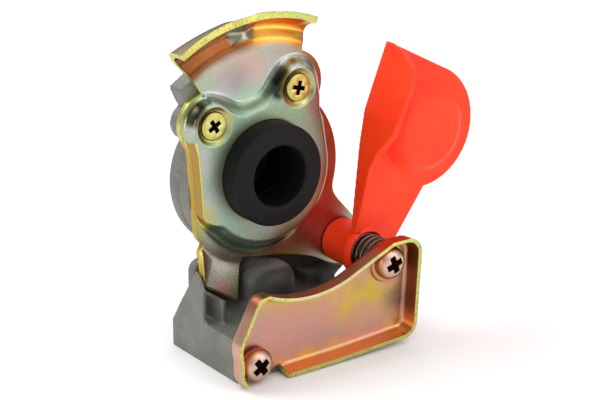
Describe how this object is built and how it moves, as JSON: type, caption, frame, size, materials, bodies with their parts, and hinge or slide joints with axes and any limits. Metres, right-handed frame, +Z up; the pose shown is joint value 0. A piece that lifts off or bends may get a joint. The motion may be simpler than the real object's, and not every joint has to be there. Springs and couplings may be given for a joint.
{
  "type": "gladhand air brake coupler",
  "caption": "Palm-type air brake coupling head: cast body with threaded base port, pressed guide plate, rubber face seal, tray-shaped coding plate and swivelling red dust cap.",
  "frame": {"origin": "centre of the threaded air port's mouth on the flat base", "axes": "+Z up from the base, -Y the way the seal looks, +X to the right as seen from the front"},
  "size_m": [0.1106, 0.0476, 0.113],
  "materials": {
    "cast_metal": "sand cast, matt grey",
    "guide_plate_zinc": "zinc plated, yellow passivated, faint green and pink sheen",
    "coding_plate_zinc": "zinc plated, yellow passivated, pink and gold patches",
    "seal_rubber": "matt black",
    "screw_gold": "yellow zinc",
    "screw_pink": "yellow zinc, pinkish",
    "cap_plastic": "moulded, satin gloss, bright red",
    "spring_steel": "bright wire",
    "bush_steel": "turned"
  },
  "bodies": {
    "head": {"body": "cast_metal", "guide_plate": "guide_plate_zinc", "seal_ring": "seal_rubber", "guide_plate_screws": "screw_gold", "coding_plate": "coding_plate_zinc", "coding_plate_screw": "screw_pink", "cap_pivot_screw": "screw_pink", "cap_spring": "spring_steel", "pivot_bush": "bush_steel"},
    "dust_cap": {"cap": "cap_plastic"}
  },
  "joints": [
    {"name": "cap_swivel", "type": "hinge", "parent": "head", "child": "dust_cap", "pos_m": [0.0324, -0.02, 0.0292], "axis": [0, -1, 0], "range_deg": [0, 76]}
  ]
}
